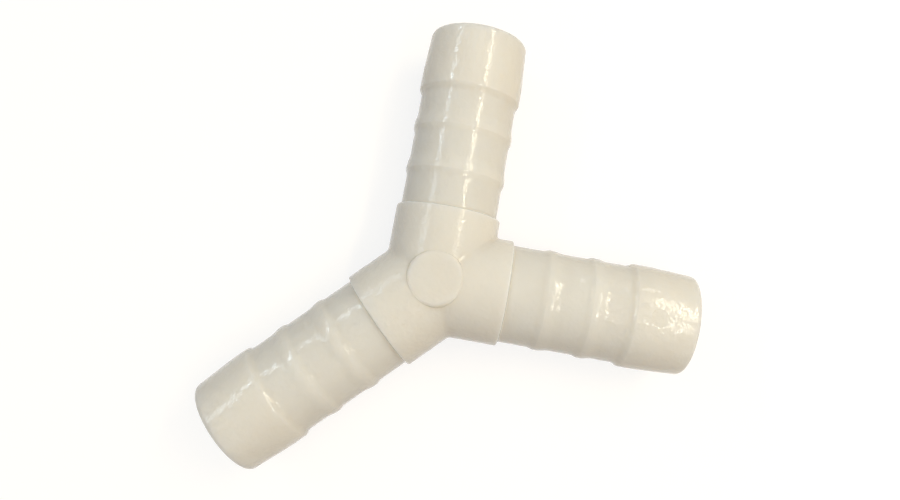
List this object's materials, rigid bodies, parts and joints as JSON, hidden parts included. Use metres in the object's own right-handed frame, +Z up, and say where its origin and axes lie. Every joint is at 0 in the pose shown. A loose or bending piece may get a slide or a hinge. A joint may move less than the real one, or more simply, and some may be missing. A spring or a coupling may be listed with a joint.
{
  "type": "tubing y connector",
  "caption": "Rigid Y-shaped hose connector: a stem and spreading branches, each with a ridged, barbed tail that a flexible tube is pushed onto, around straight bores that meet in the hub.",
  "frame": {"origin": "centre of the round pad under the hub, straight below the point where the axes of the stem and the branches cross; the fitting lies flat on this pad", "axes": "-Y out along the stem, +Y halfway between the branches, which point 45 degrees to either side of it, +Z up, square to the plane of the axes"},
  "size_m": [0.0804, 0.0881, 0.0205],
  "materials": {
    "natural_nylon": "moulded, semi-gloss, slightly translucent ivory"
  },
  "bodies": {
    "root": {"y_connector": "natural_nylon"}
  },
  "joints": []
}
